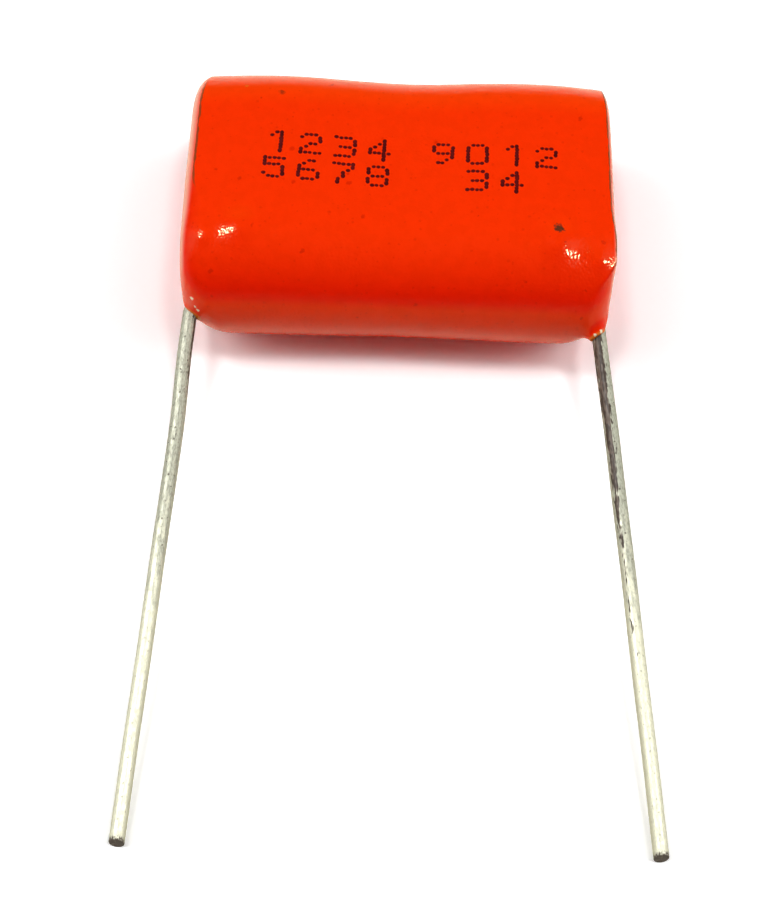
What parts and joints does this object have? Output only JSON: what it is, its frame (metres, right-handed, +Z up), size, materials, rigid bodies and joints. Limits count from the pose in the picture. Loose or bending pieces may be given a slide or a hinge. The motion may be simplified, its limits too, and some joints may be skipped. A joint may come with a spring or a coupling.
{
  "type": "polyester film capacitor",
  "caption": "Flat rounded film capacitor with a glossy orange dipped epoxy coat and long round radial wire leads, lying on its broad face.",
  "frame": {"origin": "centre of the body's flat underside, on the surface it lies on", "axes": "+Z up through the body's thickness, -Y the way the leads run, +X from the left lead to the right lead"},
  "size_m": [0.028, 0.0435, 0.0085],
  "materials": {
    "orange_epoxy": "glossy dipped epoxy with a fine orange-peel skin",
    "metallised_film": "tightly wound metallised film",
    "sprayed_metal": "rough sprayed metal",
    "tinned_wire": "drawn wire with a dull tin plating"
  },
  "bodies": {
    "root": {"epoxy_coat": "orange_epoxy", "film_winding": "metallised_film", "left_contact": "sprayed_metal", "right_contact": "sprayed_metal", "left_lead": "tinned_wire", "right_lead": "tinned_wire"}
  },
  "joints": []
}
